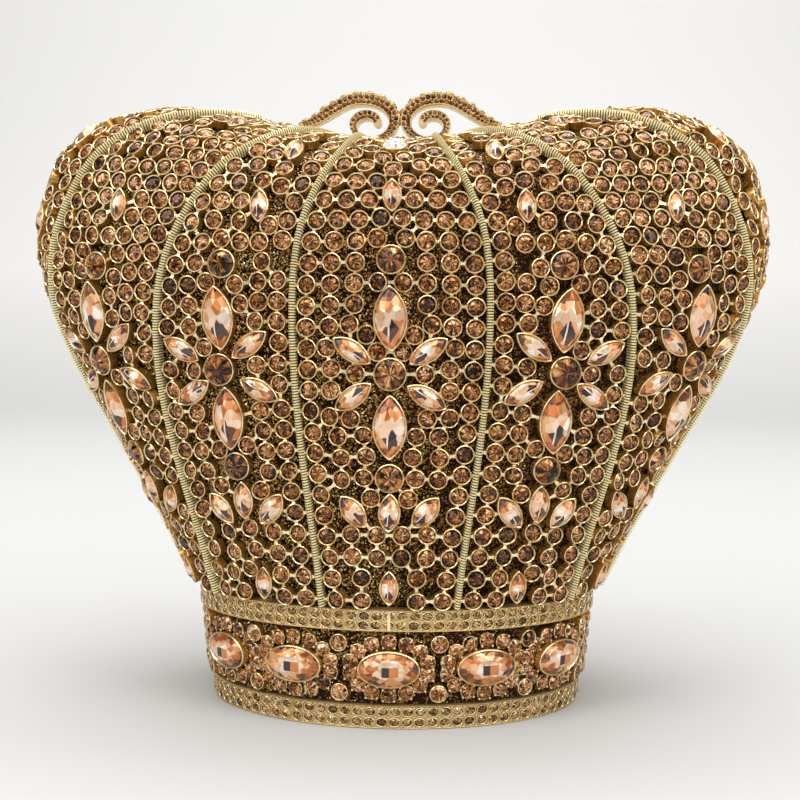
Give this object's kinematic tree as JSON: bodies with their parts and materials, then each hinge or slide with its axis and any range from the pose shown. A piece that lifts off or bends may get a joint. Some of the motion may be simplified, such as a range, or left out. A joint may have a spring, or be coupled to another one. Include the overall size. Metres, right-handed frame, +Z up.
{
  "type": "evening clutch",
  "caption": "Crown-shaped hard evening clutch with two-lobed crystal-set halves hinged along the base and a scroll kiss-lock on top.",
  "frame": {"origin": "on the table below the middle of the seam, at the centre of the base", "axes": "+X across the front to the right, -Y towards the viewer, +Z up"},
  "size_m": [0.185, 0.0812, 0.1536],
  "materials": {
    "gilt": "bright gilt casting, set with small champagne crystals",
    "pale_gilt": "pale bright gilt, milled or set with small crystals",
    "crystal": "foil-backed peach crystal, clear and polished",
    "lining": "dark brown glittered lining shell"
  },
  "bodies": {
    "rear_half": {"rear_cage": "gilt", "rear_liner": "lining", "rear_rim": "gilt", "rear_upper_band": "pale_gilt", "rear_base_band": "gilt", "rear_lower_band": "pale_gilt", "rear_bottom_plate": "gilt", "rear_hinge_leaf": "gilt", "rear_rib_1": "pale_gilt", "rear_rib_2": "pale_gilt", "rear_rib_3": "pale_gilt", "rear_rib_4": "pale_gilt", "rear_rib_5": "pale_gilt", "rear_rib_6": "pale_gilt", "rear_oval_1": "crystal", "rear_oval_2": "crystal", "rear_oval_3": "crystal", "rear_oval_4": "crystal", "rear_oval_5": "crystal", "clasp_scroll_right": "pale_gilt", "hinge_pin": "gilt", "chain_lug_left": "gilt", "chain_lug_right": "gilt"},
    "front_half": {"front_cage": "gilt", "front_liner": "lining", "front_rim": "gilt", "front_upper_band": "pale_gilt", "front_base_band": "gilt", "front_lower_band": "pale_gilt", "front_bottom_plate": "gilt", "front_hinge_leaf": "gilt", "front_rib_1": "pale_gilt", "front_rib_2": "pale_gilt", "front_rib_3": "pale_gilt", "front_rib_4": "pale_gilt", "front_rib_5": "pale_gilt", "front_rib_6": "pale_gilt", "front_oval_1": "crystal", "front_oval_2": "crystal", "front_oval_3": "crystal", "front_oval_4": "crystal", "front_oval_5": "crystal", "clasp_scroll_left": "pale_gilt"}
  },
  "joints": [
    {"name": "main_hinge", "type": "hinge", "parent": "rear_half", "child": "front_half", "pos_m": [0, 0, 0.0019], "axis": [1, 0, 0], "range_deg": [0, 60]}
  ]
}
